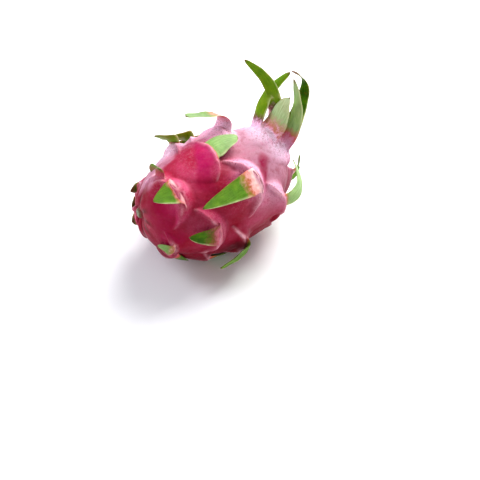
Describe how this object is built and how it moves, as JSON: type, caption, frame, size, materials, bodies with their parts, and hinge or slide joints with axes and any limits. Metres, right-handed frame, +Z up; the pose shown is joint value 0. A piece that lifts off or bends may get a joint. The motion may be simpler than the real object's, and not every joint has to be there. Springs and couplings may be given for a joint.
{
  "type": "dragon fruit",
  "caption": "Whole dragon fruit lying on its side: an oval body with scale bases, folded-back bracts, a crown of long bracts and a short stem stub.",
  "frame": {"origin": "middle of the small flat spot under the fruit, on the surface that it lies on", "axes": "+X along the fruit's axis from the stem end to the crown, +Z up, -Y towards the side with the largest folded bract"},
  "size_m": [0.1561, 0.1131, 0.1286],
  "materials": {
    "fruit": "waxy satin fruit skin, magenta pink, with bracts that turn green from pale pink bases"
  },
  "bodies": {
    "root": {"fruit": "fruit"}
  },
  "joints": []
}
